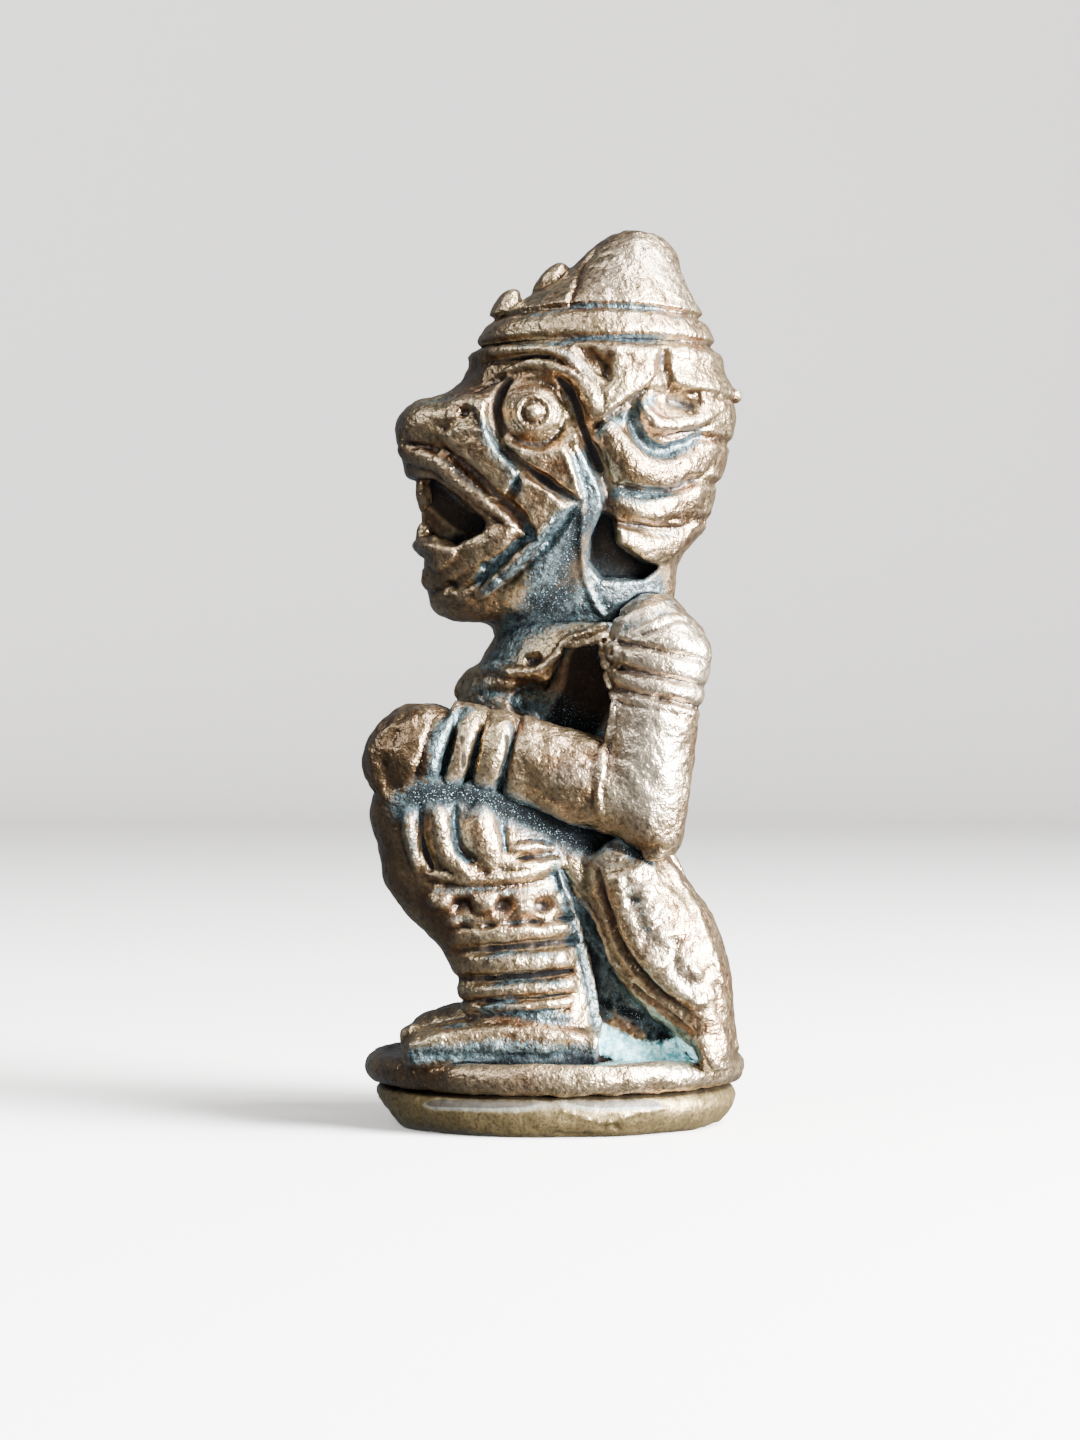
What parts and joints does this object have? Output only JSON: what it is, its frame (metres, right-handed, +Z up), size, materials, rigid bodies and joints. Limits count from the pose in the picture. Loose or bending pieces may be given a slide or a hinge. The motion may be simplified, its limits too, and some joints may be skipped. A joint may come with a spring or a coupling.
{
  "type": "hanuman figure",
  "caption": "Small cast bronze monkey warrior in a pointed cap, squatting with open mouth and hands on its knees, on a low oval base.",
  "frame": {"origin": "centre of the base's underside", "axes": "+Z up from the underside to the tip of the cap, the figure faces -Y, its left side is +X"},
  "size_m": [0.0118, 0.0127, 0.03],
  "materials": {
    "bronze": "satin cast bronze, worn to brown and gold on the high parts, with dark and blue-green patina in the recesses"
  },
  "bodies": {
    "root": {"hanuman_figure": "bronze"}
  },
  "joints": []
}
